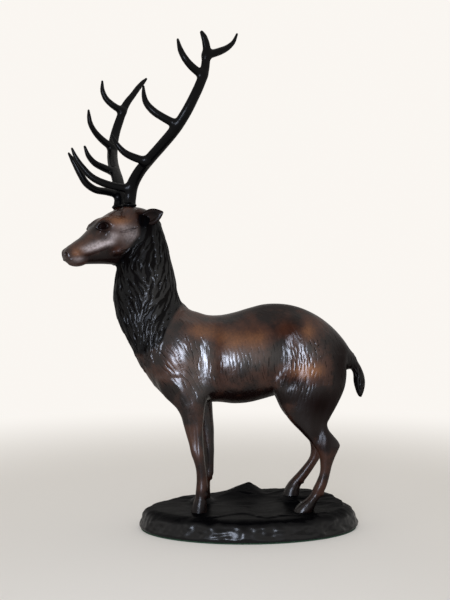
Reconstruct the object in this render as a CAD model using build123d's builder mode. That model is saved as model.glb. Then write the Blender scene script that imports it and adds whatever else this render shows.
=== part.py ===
"""Cast bronze stag on an oval ground base.

The figure is hollow castings joined as a foundry joins them: the neck slips into the trunk on a pinned
sleeve, each leg has a spigot pinned into its stump, each antler is held by a stud, and a stud in each hoof
is pulled down by a nut inside the hollow base. A board and a felt pad close the base from below.

Millimetres. X runs from the stag's head (-X) to its tail (+X), Y across it (its left side is -Y), Z up.
The origin is the centre of the felt's underside.
"""

import os
from math import cos, radians, sin

from build123d import *

# --- driving dimensions -------------------------------------------------------------------------------

fit_clearance = 0.05  # radial, between a spigot, stud, screw or pin and its hole
end_gap = 0.3  # left at the blind end of a hole or a socket

base_half_length = 131.0
base_half_width = 79.0
base_top = 23.5  # height of the ground's flat middle above the table
base_round = 12.0  # radius of the rounded bank
base_wall = 4.5
felt_thickness = 1.5
felt_inset = 2.0
board_thickness = 3.0
board_clearance = 0.3
lug_radius = 6.0
lug_count = 6
lug_ring_share = 0.86  # how far out the lugs stand, along each half axis
lug_start_angle = 30  # degrees, keeps the lugs clear of the hooves' bosses
board_screw_radius = 1.5
board_screw_head_radius = 3.0
board_screw_length = 9.0

hoof_stud_radius = 2.5
hoof_stud_depth = 9.0  # into the hoof
hoof_boss_radius = 9.0
hoof_boss_drop = 4.0  # a boss hangs this far below the ground's underside
hoof_washer_radius = 5.5
hoof_washer_thickness = 1.0
hoof_nut_across_flats = 8.0
hoof_nut_height = 4.0
stud_end_length = 1.2  # thread that shows below the nut
mound_foot_radius = 22.0
mound_top_radius = 13.0

trunk_wall = 3.5
core_inset = 5.0  # the core is this much smaller than the barrel all round

neck_seam_x = -107.5
neck_seam_z = 234.5
neck_seam_tilt = 46.0  # degrees from upright, of the neck's axis at the seam
neck_seam_half_length = 42.4
neck_seam_half_width = 27.0
sleeve_length = 11.0
sleeve_wall = 3.0
neck_pin_radius = 1.25
neck_pin_count = 6
pin_recess = 0.6  # a pin's end stays this far under the skin

spigot_radius = 5.0
spigot_length = 14.0
leg_pin_radius = 1.5
leg_pin_half_length = 8.0

head_x = -149.6
head_yaw = 28.8  # degrees, the head looks towards the stag's left
head_core_inset = 6.0
antler_lateral = 13.4
antler_seat_z = 381.0
antler_lean = 0.28  # how far a pedicle leans outwards for each unit of height
pedicle_radius = 8.0
pedicle_length = 18.0
antler_stud_radius = 2.0
antler_stud_depth = 11.0  # into the head, and as far into the antler

ear_root = (-14.0, 24.5, 370.0)  # forward, lateral, height in the head's frame
ear_tip = (-30.0, 44.0, 378.0)
ear_boss_radius = 4.5
ear_boss_length = 8.0
ear_spigot_radius = 2.0
ear_spigot_length = 5.0
tail_spigot_radius = 2.5
tail_spigot_length = 9.0

# Each leg from its seam down to the sole: x, y, z, half length, half width of a level section.
leg_sections = {
    "foreleg_left": [
        (-65, -23, 123, 12, 9),
        (-63.3, -24, 107, 8.8, 7.5),
        (-59.2, -25, 84, 7, 6.6),
        (-56.5, -26, 60, 6.2, 5.4),
        (-56.5, -26, 48, 6.6, 6),
        (-59, -26, 37, 6.4, 5.8),
        (-61, -26, 24, 8.5, 8),
    ],
    "foreleg_right": [
        (-56, 22, 123, 11.5, 9),
        (-52, 22, 103, 8.5, 7.2),
        (-49.5, 21, 80, 6.8, 6.4),
        (-48.5, 20, 62, 6.2, 5.4),
        (-50, 20, 53, 6.6, 6),
        (-54, 20, 43, 6.4, 5.8),
        (-56.5, 20, 31, 8.5, 8),
    ],
    "hindleg_left": [
        (72, -22, 125, 19, 10),
        (82, -23, 112, 16, 8.5),
        (90, -25, 100, 12.5, 7.2),
        (90.5, -26, 88, 9, 6.2),
        (87.5, -26, 70, 6.2, 5.4),
        (84, -26, 57, 6.6, 5.6),
        (79, -26, 48, 7.2, 6.2),
        (71, -26, 38, 7.2, 6),
        (61, -26, 25, 9.5, 8),
    ],
    "hindleg_right": [
        (70, 22, 125, 19, 10),
        (78, 23, 112, 15.5, 8.5),
        (84, 24, 100, 12, 7.2),
        (82.5, 24, 88, 8.5, 6.2),
        (79, 24, 75, 6.8, 5.4),
        (72, 25, 63, 7, 5.6),
        (63, 25, 52, 8, 6.2),
        (56, 25, 43, 7.6, 6),
        (51.5, 25, 31, 9, 8),
    ],
}

os.makedirs("parts", exist_ok=True)


# --- sections, lofts and rods -------------------------------------------------------------------------


def upright_plane(x, z):
    """A plane across the stag, at x, centred at height z."""
    return Plane(origin=(x, 0, z), x_dir=(0, 1, 0), z_dir=(1, 0, 0))


def level_plane(x, y, z):
    return Plane(origin=(x, y, z), x_dir=(1, 0, 0), z_dir=(0, 0, 1))


def ellipse_loft(sections, inset=0.0, mode=Mode.ADD):
    """Lofts through (plane, half size, half size), with each half size less the inset."""
    outlines = []
    for plane, half_x, half_y in sections:
        with BuildSketch(plane) as outline:
            Ellipse(half_x - inset, half_y - inset)
        outlines.append(outline.sketch)
    loft(outlines, mode=mode)


def rod(start, direction, radius, length, mode=Mode.ADD):
    """A cylinder from start along direction."""
    with BuildSketch(Plane(origin=start, z_dir=direction)) as end:
        Circle(radius)
    extrude(end.sketch, amount=length, mode=mode)


def bore(start, direction, radius, length):
    """The hole for a rod of this radius and length."""
    rod(start, direction, radius + fit_clearance, length + end_gap, Mode.SUBTRACT)


def finish_part(builder, name):
    builder.part.label = name
    export_step(builder.part, f"parts/{name}.step")


# --- base ---------------------------------------------------------------------------------------------

hoof_spots = [sections[-1][:3] for sections in leg_sections.values()]
base_bottom = felt_thickness
board_top = base_bottom + board_thickness
bank_foot = base_top - base_round
ceiling = base_top - base_wall
hoof_boss_bottom = ceiling - hoof_boss_drop
inner_half_length = base_half_length - base_wall
inner_half_width = base_half_width - base_wall
lug_spots = [
    (
        spot.position.X * inner_half_length * lug_ring_share,
        spot.position.Y * inner_half_width * lug_ring_share,
    )
    for spot in PolarLocations(1.0, lug_count, start_angle=lug_start_angle).locations
]
# rises in the ground: x, y, top height, foot half sizes, top half sizes
ground_rises = [
    (40, 30, 30.5, (72, 40), (52, 24)),
    (2, 46, 39.5, (24, 16), (5, 4)),
]

with BuildPart() as base_casting:
    with BuildSketch(Plane.XY.offset(base_bottom)):
        Ellipse(base_half_length, base_half_width)
    extrude(amount=base_top - base_bottom)
    fillet(base_casting.faces().sort_by(Axis.Z)[-1].edges(), base_round)
    for x, y, height, foot, top in ground_rises:
        ellipse_loft([(level_plane(x, y, ceiling), *foot), (level_plane(x, y, height), *top)])
    for x, y, height in hoof_spots:
        mound_foot = (level_plane(x, y, ceiling), mound_foot_radius, mound_foot_radius)
        mound_top = (level_plane(x, y, height), mound_top_radius, mound_top_radius)
        ellipse_loft([mound_foot, mound_top])
    # the hollow, which narrows behind the rounded bank
    with BuildSketch(Plane.XY.offset(base_bottom)):
        Ellipse(inner_half_length, inner_half_width)
    extrude(amount=bank_foot - base_bottom, mode=Mode.SUBTRACT)
    bank_inside = [
        (Plane.XY.offset(bank_foot), inner_half_length, inner_half_width),
        (Plane.XY.offset(ceiling), inner_half_length - base_round, inner_half_width - base_round),
    ]
    ellipse_loft(bank_inside, mode=Mode.SUBTRACT)
    for x, y, height in hoof_spots:
        rod((x, y, hoof_boss_bottom), (0, 0, 1), hoof_boss_radius, height - hoof_boss_bottom)
        bore((x, y, hoof_boss_bottom), (0, 0, 1), hoof_stud_radius, height - hoof_boss_bottom)
    for x, y in lug_spots:
        rod((x, y, board_top), (0, 0, 1), lug_radius, ceiling - board_top)
        bore((x, y, board_top), (0, 0, 1), board_screw_radius, board_screw_length - board_thickness)
finish_part(base_casting, "base_casting")

with BuildPart() as closing_board:
    with BuildSketch(Plane.XY.offset(base_bottom)):
        Ellipse(inner_half_length - board_clearance, inner_half_width - board_clearance)
    extrude(amount=board_thickness)
    with Locations(*[Location((x, y, base_bottom), (180, 0, 0)) for x, y in lug_spots]):
        CounterSinkHole(
            radius=board_screw_radius + fit_clearance,
            counter_sink_radius=board_screw_head_radius + fit_clearance,
        )
finish_part(closing_board, "closing_board")

screw_head_height = board_screw_head_radius - board_screw_radius
with BuildPart() as board_screws:
    for x, y in lug_spots:
        screw_head = [
            (level_plane(x, y, base_bottom), board_screw_head_radius, board_screw_head_radius),
            (level_plane(x, y, base_bottom + screw_head_height), board_screw_radius, board_screw_radius),
        ]
        ellipse_loft(screw_head)
        rod((x, y, base_bottom), (0, 0, 1), board_screw_radius, board_screw_length)
finish_part(board_screws, "board_screws")

with BuildPart() as felt_pad:
    with BuildSketch():
        Ellipse(base_half_length - felt_inset, base_half_width - felt_inset)
    extrude(amount=felt_thickness)
finish_part(felt_pad, "felt_pad")

# --- hoof fixings -------------------------------------------------------------------------------------

washer_bottom = hoof_boss_bottom - hoof_washer_thickness
nut_bottom = washer_bottom - hoof_nut_height
stud_bottom = nut_bottom - stud_end_length

with BuildPart() as hoof_studs:
    for x, y, height in hoof_spots:
        rod((x, y, stud_bottom), (0, 0, 1), hoof_stud_radius, height + hoof_stud_depth - stud_bottom)
finish_part(hoof_studs, "hoof_studs")

with BuildPart() as hoof_washers:
    for x, y, height in hoof_spots:
        rod((x, y, washer_bottom), (0, 0, 1), hoof_washer_radius, hoof_washer_thickness)
        bore((x, y, washer_bottom), (0, 0, 1), hoof_stud_radius, hoof_washer_thickness)
finish_part(hoof_washers, "hoof_washers")

with BuildPart() as hoof_nuts:
    with BuildSketch(Plane.XY.offset(nut_bottom)):
        with Locations(*[(x, y) for x, y, height in hoof_spots]):
            RegularPolygon(hoof_nut_across_flats / 2, 6, major_radius=False)
            Circle(hoof_stud_radius + fit_clearance, mode=Mode.SUBTRACT)
    extrude(amount=hoof_nut_height)
finish_part(hoof_nuts, "hoof_nuts")

# --- trunk --------------------------------------------------------------------------------------------

# x, centre height, half width, half height
barrel_rows = [
    (-128, 192, 7, 9),
    (-119, 192, 17, 23),
    (-105, 197, 26, 40),
    (-90, 203, 31, 50),
    (-74, 205, 33, 54),
    (-41, 202, 34, 51),
    (-11, 203, 36, 55),
    (19, 210, 35, 56),
    (43, 211, 34, 55),
    (67, 210, 33, 49),
    (91, 209, 28, 37),
    (109, 205, 20, 26),
    (120, 203, 11, 13),
]
barrel = [(upright_plane(x, z), half_width, half_height) for x, z, half_width, half_height in barrel_rows]
trunk_end = barrel_rows[-1]

neck_axis = Vector(-sin(radians(neck_seam_tilt)), 0, cos(radians(neck_seam_tilt)))
seam_centre = Vector(neck_seam_x, 0, neck_seam_z)


def seam_plane(along=0.0):
    """The neck seam's plane, moved along the neck's axis."""
    return Plane(origin=seam_centre + neck_axis * along, x_dir=(0, 1, 0), z_dir=neck_axis)


def collar_sections(rows):
    """Sections below the neck seam: distance from it, how much wider and how much longer than it."""
    return [
        (seam_plane(-down), neck_seam_half_width + wider, neck_seam_half_length + longer)
        for down, wider, longer in rows
    ]


collar = collar_sections([(0, 0, 0), (22, 3, 2), (48, 1, -4)])
collar_core = collar_sections([(sleeve_length, -8, -8), (30, -6, -8), (50, -8, -12)])

# Shoulder and haunch above the leg seams: x, distance from the middle, height, half length, half width.
shoulder_rows = [
    (-74, 13, 235, 20, 10),
    (-79, 18, 205, 32, 16),
    (-75, 20, 172, 26, 15),
    (-68, 22, 149, 18, 12),
]
haunch_rows = [
    (64, 12, 238, 22, 10),
    (73, 18, 205, 42, 17),
    (71, 20, 172, 38, 16),
    (68, 21, 148, 29, 13),
]

# the sides where pins cross a leg's spigot
leg_pin_starts = {
    name: (sections[0][0], sections[0][1] - leg_pin_half_length, sections[0][2] + spigot_length / 2)
    for name, sections in leg_sections.items()
}


def neck_pin_spots():
    """Outer end and inward direction of each pin round the neck seam."""
    plane = seam_plane(-sleeve_length / 2)
    spots = []
    for number in range(neck_pin_count):
        angle = radians(360 / neck_pin_count * number)
        across, along = cos(angle), sin(angle)
        normal = plane.x_dir * across * neck_seam_half_length + plane.y_dir * along * neck_seam_half_width
        inward = normal.normalized() * -1
        offset = plane.x_dir * across * neck_seam_half_width + plane.y_dir * along * neck_seam_half_length
        spots.append((plane.origin + offset + inward * pin_recess, inward))
    return spots


neck_pin_length = trunk_wall + sleeve_wall - pin_recess
pin_bore_lead = 4.0  # a pin's bore starts this far outside the pin

with BuildPart() as torso_casting:
    ellipse_loft(barrel)
    ellipse_loft(collar)
    for name, sections in leg_sections.items():
        rows = shoulder_rows if name.startswith("fore") else haunch_rows
        side = -1 if name.endswith("left") else 1
        seam_x, seam_y, seam_z, half_length, half_width = sections[0]
        stump = [(level_plane(x, side * y, z), a, b) for x, y, z, a, b in rows]
        ellipse_loft([*stump, (level_plane(seam_x, seam_y, seam_z), half_length, half_width)])
    split(bisect_by=seam_plane(), keep=Keep.BOTTOM)
    ellipse_loft(barrel[1:-1], core_inset, mode=Mode.SUBTRACT)
    ellipse_loft(collar_core, mode=Mode.SUBTRACT)
    with BuildSketch(seam_plane()):
        Ellipse(neck_seam_half_width - trunk_wall, neck_seam_half_length - trunk_wall)
    extrude(amount=-(sleeve_length + end_gap), mode=Mode.SUBTRACT)
    for name, sections in leg_sections.items():
        bore(sections[0][:3], (0, 0, 1), spigot_radius, spigot_length)
        bore(leg_pin_starts[name], (0, 1, 0), leg_pin_radius, 2 * leg_pin_half_length)
    for start, inward in neck_pin_spots():
        bore(start - inward * pin_bore_lead, inward, neck_pin_radius, neck_pin_length + pin_bore_lead)
    bore((trunk_end[0], 0, trunk_end[1]), (-1, 0, 0), tail_spigot_radius, tail_spigot_length)
finish_part(torso_casting, "torso_casting")

with BuildPart() as tail_casting:
    tail = [
        (upright_plane(trunk_end[0], trunk_end[1]), 8, 9),
        (Plane(origin=(128, 0, 196), x_dir=(0, 1, 0), z_dir=(1, 0, -1)), 7.5, 8),
        (Plane(origin=(133, 0, 183), x_dir=(0, 1, 0), z_dir=(0.2, 0, -1)), 6.5, 6.5),
        (Plane(origin=(135.5, 0, 168), x_dir=(0, 1, 0), z_dir=(0, 0, -1)), 5.5, 5.5),
        (Plane(origin=(134.5, 0, 154), x_dir=(0, 1, 0), z_dir=(0, 0, -1)), 2.2, 2.2),
    ]
    ellipse_loft(tail)
    rod((trunk_end[0], 0, trunk_end[1]), (-1, 0, 0), tail_spigot_radius, tail_spigot_length)
finish_part(tail_casting, "tail_casting")

# --- legs ---------------------------------------------------------------------------------------------


def build_leg(name):
    """A solid cast leg, with its spigot on top and the stud's hole in its sole."""
    sections = leg_sections[name]
    with BuildPart() as leg:
        ellipse_loft([(level_plane(x, y, z), a, b) for x, y, z, a, b in sections])
        rod(sections[0][:3], (0, 0, 1), spigot_radius, spigot_length)
        bore(leg_pin_starts[name], (0, 1, 0), leg_pin_radius, 2 * leg_pin_half_length)
        bore(sections[-1][:3], (0, 0, 1), hoof_stud_radius, hoof_stud_depth)
    finish_part(leg, name)


for leg_name in leg_sections:
    build_leg(leg_name)

with BuildPart() as leg_pins:
    for start in leg_pin_starts.values():
        rod(start, (0, 1, 0), leg_pin_radius, 2 * leg_pin_half_length)
finish_part(leg_pins, "leg_pins")

with BuildPart() as neck_pins:
    for start, inward in neck_pin_spots():
        rod(start, inward, neck_pin_radius, neck_pin_length)
finish_part(neck_pins, "neck_pins")

# --- neck and head ------------------------------------------------------------------------------------

head_forward = Vector(-cos(radians(head_yaw)), -sin(radians(head_yaw)), 0)
head_left = Vector(sin(radians(head_yaw)), -cos(radians(head_yaw)), 0)


def head_point(forward, lateral, height):
    """A point in the head's own frame, which is turned by the yaw."""
    return Vector(head_x, 0, 0) + head_forward * forward + head_left * lateral + Vector(0, 0, height)


def head_direction(forward, lateral, height):
    return (head_forward * forward + head_left * lateral + Vector(0, 0, height)).normalized()


def neck_plane(x, z, tilt, yaw=0.0):
    """A section across the neck, tilted back from level and turned towards the head's yaw."""
    return Plane(Location((x, 0, z), (0, -tilt, yaw)))


# centre x, height, tilt, yaw, half length, half width
neck_rows = [
    (-121, 256, 22, 0, 42.5, 27),
    (-124, 283, 3, 0, 38, 25.5),
    (-125, 307, 0, 6, 33.6, 23),
    (-125, 331, 0, 14, 28, 20.5),
    (-127, 353, 0, 22, 22, 18),
    (-132, 371, 0, 28.8, 12, 11.5),
]
neck = [(neck_plane(x, z, tilt, yaw), a, b) for x, z, tilt, yaw, a, b in neck_rows]
along_seam = (cos(radians(neck_seam_tilt)), 0, sin(radians(neck_seam_tilt)))
neck_foot_plane = Plane(origin=seam_centre, x_dir=along_seam, z_dir=neck_axis)
neck_foot = (neck_foot_plane, neck_seam_half_length, neck_seam_half_width)

# forward, centre height, half width, half height
head_rows = [
    (-31, 362, 12, 17),
    (-18, 355, 18.5, 28),
    (-4, 351, 21, 32.5),
    (11.4, 347, 22, 33.5),
    (24, 345, 21.5, 30.5),
    (36, 340, 20, 27),
    (46.6, 332, 15.5, 19.5),
    (58, 326, 13, 15.5),
    (68, 323, 11.5, 11),
    (76, 322.5, 7, 5),
]
head = [
    (Plane(origin=head_point(forward, 0, z), x_dir=head_left, z_dir=head_forward), half_width, half_height)
    for forward, z, half_width, half_height in head_rows
]

pedicle_sides = {"left": 1, "right": -1}
pedicles = {
    name: (head_point(0, side * antler_lateral, antler_seat_z), head_direction(0, side * antler_lean, 1))
    for name, side in pedicle_sides.items()
}


def ear_axis(side):
    """Root of an ear and the direction in which it points."""
    forward, lateral, height = ear_root
    root = head_point(forward, side * lateral, height)
    tip = head_point(ear_tip[0], side * ear_tip[1], ear_tip[2])
    return root, (tip - root).normalized(), (tip - root).length


sleeve_inset = trunk_wall + fit_clearance
sleeve_inner_inset = sleeve_inset + sleeve_wall

with BuildPart() as neck_head_casting:
    ellipse_loft([neck_foot, *neck])
    ellipse_loft(head)
    for seat, axis in pedicles.values():
        rod(seat, axis * -1, pedicle_radius, pedicle_length)
    for side in pedicle_sides.values():
        root, direction, length = ear_axis(side)
        rod(root, direction * -1, ear_boss_radius, ear_boss_length)
    with BuildSketch(seam_plane()):
        Ellipse(neck_seam_half_width - sleeve_inset, neck_seam_half_length - sleeve_inset)
    extrude(amount=-sleeve_length)
    with BuildSketch(seam_plane()):
        Ellipse(neck_seam_half_width - sleeve_inner_inset, neck_seam_half_length - sleeve_inner_inset)
    extrude(amount=-sleeve_length, mode=Mode.SUBTRACT)
    ellipse_loft([neck_foot, *neck[:-1]], sleeve_inner_inset, mode=Mode.SUBTRACT)
    ellipse_loft(head[2:7], head_core_inset, mode=Mode.SUBTRACT)
    for seat, axis in pedicles.values():
        bore(seat, axis * -1, antler_stud_radius, antler_stud_depth)
    for side in pedicle_sides.values():
        root, direction, length = ear_axis(side)
        bore(root, direction * -1, ear_spigot_radius, ear_spigot_length)
    for start, inward in neck_pin_spots():
        bore(start, inward, neck_pin_radius, neck_pin_length)
finish_part(neck_head_casting, "neck_head_casting")


# share of the ear's length, half height, half thickness
ear_rows = [(0, 4, 3), (0.35, 6.5, 3.2), (0.7, 5, 2.2), (1, 1.5, 1)]
ear_edge_lean = 0.4  # how far an ear's upper edge leans outwards for each unit of height


def build_ear(name, side):
    root, direction, length = ear_axis(side)
    edge = head_left * side * ear_edge_lean + Vector(0, 0, 1)
    blade = []
    for share, half_height, half_thickness in ear_rows:
        plane = Plane(origin=root + direction * length * share, x_dir=edge, z_dir=direction)
        blade.append((plane, half_height, half_thickness))
    with BuildPart() as ear:
        ellipse_loft(blade)
        rod(root, direction * -1, ear_spigot_radius, ear_spigot_length)
    finish_part(ear, f"ear_{name}")


for ear_name, ear_side in pedicle_sides.items():
    build_ear(ear_name, ear_side)

# --- antlers ------------------------------------------------------------------------------------------

# Points in the head's frame (forward, outwards, height) with the half size of the section there.
beam_route = [
    ((-2.4, 17, 403.5), 7.5),
    ((-5, 28, 417.5), 7.4),
    ((-9.5, 46, 431), 7.2),
    ((-16, 67, 446), 7.0),
    ((-23.5, 85, 462), 6.8),
    ((-31, 97.5, 480), 6.3),
    ((-37, 103, 495), 5.9),
    ((-43.3, 105.7, 510), 5.7),
    ((-49, 106, 525), 5.4),
]
crown_left = [((-51.2, 106.5, 542), 5.0), ((-50.5, 108, 554), 4.6), ((-44, 109, 568), 2.6)]
crown_right = [((-55.6, 106.5, 536), 4.6), ((-72.8, 110, 557.6), 3.7), ((-86, 112, 572), 1.6)]
back_tine = [
    ((-51, 106, 543.6), 4.4),
    ((-67.7, 109, 550.2), 4.1),
    ((-81, 110.5, 558.8), 2.8),
    ((-88.5, 112, 572.5), 1.4),
]
shared_tines = [
    [((-7, 46, 430), 4.6), ((7, 43.5, 433.7), 4.5), ((22, 43, 440.5), 3.7), ((33, 40, 457), 1.6)],
    [
        ((-24, 87, 467.5), 4.8),
        ((-9.3, 84.5, 474.7), 4.4),
        ((4.5, 81, 485), 3.8),
        ((10.8, 78, 496), 3.0),
        ((12.2, 76.5, 509), 1.6),
    ],
    [((-47, 105, 521.5), 4.6), ((-33.3, 106.2, 528), 4.3), ((-21, 106.5, 540), 3.5), ((-17, 103, 557), 1.6)],
]
brow_left = [
    ((2, 15, 402), 4.6),
    ((22, 12, 404.5), 4.4),
    ((44, 8.5, 412.7), 4.0),
    ((58.5, 7, 428), 3.2),
    ((68.2, 7.6, 444.5), 1.5),
]
brow_right = [
    ((2, 15, 398.5), 4.6),
    ((22, 11.3, 400), 4.3),
    ((44, 7.5, 407.3), 4.2),
    ((57, 6.8, 426), 3.5),
    ((66.2, 7.6, 441.5), 1.5),
]
antler_routes = {
    "left": (beam_route + crown_left, [brow_left, *shared_tines, back_tine]),
    "right": (beam_route + crown_right, [brow_right, *shared_tines]),
}
burr_radius = 8.0
burr_height = 3.0
beam_foot = [(0, 7.6), (8, 7.5)]  # height above the seat and half size, before the beam bends outwards
beam_flatness = 0.68  # the beam's thickness as a share of its width, above the burr


def route_loft(points, sizes, broad_way, flatness=1.0):
    """Lofts ellipses along a route, each square to the route where it stands and broad the way given."""
    sections = []
    for number, (point, size) in enumerate(zip(points, sizes)):
        before = points[max(number - 1, 0)]
        after = points[min(number + 1, len(points) - 1)]
        plane = Plane(origin=point, x_dir=broad_way, z_dir=(after - before).normalized())
        sections.append((plane, size, size * flatness))
    ellipse_loft(sections)


def placed_route(route, side):
    """A route's points on one side of the head, and its half sizes."""
    points = [head_point(forward, side * outwards, height) for (forward, outwards, height), size in route]
    return points, [size for point, size in route]


def build_antler(name):
    side = pedicle_sides[name]
    seat, axis = pedicles[name]
    beam, tines = antler_routes[name]
    with BuildPart() as antler:
        rod(seat, axis, burr_radius, burr_height)
        foot_points = [seat + axis * height for height, size in beam_foot]
        foot_sizes = [size for height, size in beam_foot]
        beam_points, beam_sizes = placed_route(beam, side)
        route_loft(foot_points + beam_points, foot_sizes + beam_sizes, head_forward, beam_flatness)
        for tine in tines:
            route_loft(*placed_route(tine, side), head_left)
        bore(seat, axis, antler_stud_radius, antler_stud_depth)
    finish_part(antler, f"antler_{name}")


for antler_name in pedicle_sides:
    build_antler(antler_name)

with BuildPart() as antler_studs:
    for seat, axis in pedicles.values():
        rod(seat - axis * antler_stud_depth, axis, antler_stud_radius, 2 * antler_stud_depth)
finish_part(antler_studs, "antler_studs")
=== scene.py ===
import itertools
import math
import bmesh
import bpy
import numpy as np
import openvdb
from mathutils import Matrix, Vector, noise


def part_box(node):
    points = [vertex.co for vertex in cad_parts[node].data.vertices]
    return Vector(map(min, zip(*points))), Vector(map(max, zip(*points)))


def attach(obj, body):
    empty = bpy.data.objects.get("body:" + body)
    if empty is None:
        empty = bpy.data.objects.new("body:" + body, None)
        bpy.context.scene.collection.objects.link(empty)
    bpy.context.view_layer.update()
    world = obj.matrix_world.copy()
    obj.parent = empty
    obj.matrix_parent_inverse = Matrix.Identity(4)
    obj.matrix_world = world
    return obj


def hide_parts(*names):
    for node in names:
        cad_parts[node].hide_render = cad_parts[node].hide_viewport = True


# The stag is modelled in millimetres, as in the workshop, and each mesh is written in metres.
mm = 0.001

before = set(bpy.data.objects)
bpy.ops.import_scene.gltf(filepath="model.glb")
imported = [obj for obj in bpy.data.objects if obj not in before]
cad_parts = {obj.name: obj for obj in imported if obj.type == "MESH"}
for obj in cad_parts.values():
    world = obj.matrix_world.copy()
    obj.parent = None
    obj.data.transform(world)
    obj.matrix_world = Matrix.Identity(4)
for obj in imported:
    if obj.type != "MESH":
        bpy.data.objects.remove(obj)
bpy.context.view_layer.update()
scene = bpy.context.scene
scene.view_settings.view_transform = "Standard"

camera = {
    "turn": -3.0,  # degrees round the stag
    "height": 271.0,
    "aside": -28.8,
    "distance": 1000.0,
    "lens": 50.0,
}


def makeCamera():
    turn = math.radians(camera["turn"])
    right = Vector((math.cos(turn), math.sin(turn), 0))
    ahead = Vector((-math.sin(turn), math.cos(turn), 0))
    eye = bpy.data.objects.new("camera", bpy.data.cameras.new("camera"))
    scene.collection.objects.link(eye)
    spot = right * camera["aside"] - ahead * camera["distance"] + Vector((0, 0, camera["height"]))
    eye.location = spot * mm
    eye.rotation_euler = (math.pi / 2, 0, turn)
    eye.data.lens = camera["lens"]
    eye.data.clip_end = 50
    scene.camera = eye


makeCamera()
print("camera set")


class Wire:
    # an output socket that can be used in sums
    def __init__(self, nodes, socket):
        self.nodes = nodes
        self.socket = socket

    def work(self, operation, other, swap=False):
        first, second = (other, self) if swap else (self, other)
        return self.nodes.node("ShaderNodeMath", {"operation": operation}, {0: first, 1: second})

    def __add__(self, other):
        return self.work("ADD", other)

    def __mul__(self, other):
        return self.work("MULTIPLY", other)

    def __sub__(self, other):
        return self.work("SUBTRACT", other)

    def __rsub__(self, other):
        return self.work("SUBTRACT", other, True)

    __radd__ = __add__
    __rmul__ = __mul__


class Nodes:
    # a node tree and short ways to build it
    def __init__(self, tree):
        self.tree = tree

    def node(self, kind, settings=None, sockets=None, output=0):
        made = self.tree.nodes.new(kind)
        for key, value in (settings or {}).items():
            setattr(made, key, value)
        for key, value in (sockets or {}).items():
            self.plug(value, made.inputs[key])
        return Wire(self, made.outputs[output])

    def plug(self, value, socket):
        if isinstance(value, Wire):
            self.tree.links.new(value.socket, socket)
        else:
            socket.default_value = value

    def noise(self, scale, detail=3.0, roughness=0.5, stretch=(1, 1, 1)):
        place = self.node("ShaderNodeTexCoord", output="Object")
        place = self.node("ShaderNodeVectorMath", {"operation": "MULTIPLY"}, {0: place, 1: stretch})
        sizes = {"Vector": place, "Scale": scale, "Detail": detail, "Roughness": roughness}
        return self.node("ShaderNodeTexNoise", sockets=sizes)

    def spread(self, wire, low, high, start=0.0, end=1.0):
        # start below low, end above high, smooth between
        sockets = {"Value": wire, "From Min": low, "From Max": high, "To Min": start, "To Max": end}
        return self.node("ShaderNodeMapRange", {"interpolation_type": "SMOOTHSTEP"}, sockets)

    def mix(self, share, first, second):
        # the mix node's colour sockets are 6 and 7, and its colour output is 2
        return self.node("ShaderNodeMix", {"data_type": "RGBA"}, {0: share, 6: first, 7: second}, 2)

    def mask(self, name):
        return self.node("ShaderNodeAttribute", {"attribute_name": name}, output="Fac")

    def ray(self, kind):
        return self.node("ShaderNodeLightPath", output=f"Is {kind} Ray")


class Finish(Nodes):
    # a material around one principled shader
    def __init__(self, name, **fixed):
        self.material = bpy.data.materials.new(name)
        self.material.use_nodes = True
        super().__init__(self.material.node_tree)
        self.shader = self.tree.nodes["Principled BSDF"]
        for socket, value in fixed.items():
            self.shader.inputs[socket.replace("_", " ")].default_value = value

    def feed(self, socket, wire):
        self.plug(wire, self.shader.inputs[socket])

    def bump(self, height, strength, depth):
        sockets = {"Strength": strength, "Distance": depth, "Height": height}
        self.feed("Normal", self.node("ShaderNodeBump", {}, sockets))


def paint(red, green, blue):
    # a colour as it shows on a screen
    return tuple((value / 255) ** 2.2 for value in (red, green, blue)) + (1,)


def curveThrough(places, values, at):
    # smooth curve through rows of values, level beyond both ends
    places = np.asarray(places, float)
    values = np.asarray(values, float)
    if places[0] > places[-1]:
        places, values = places[::-1], values[::-1]
    slopes = np.gradient(values, places, axis=0)
    at = np.clip(at, places[0], places[-1])
    spot = np.clip(np.searchsorted(places, at) - 1, 0, len(places) - 2)
    width = places[spot + 1] - places[spot]
    t = (at - places[spot]) / width
    if values.ndim == 2:
        t, width = t[:, None], width[:, None]
    start = (1 + 2 * t) * (1 - t) ** 2 * values[spot] + t * (1 - t) ** 2 * width * slopes[spot]
    end = t * t * (3 - 2 * t) * values[spot + 1] + t * t * (t - 1) * width * slopes[spot + 1]
    return start + end


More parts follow.
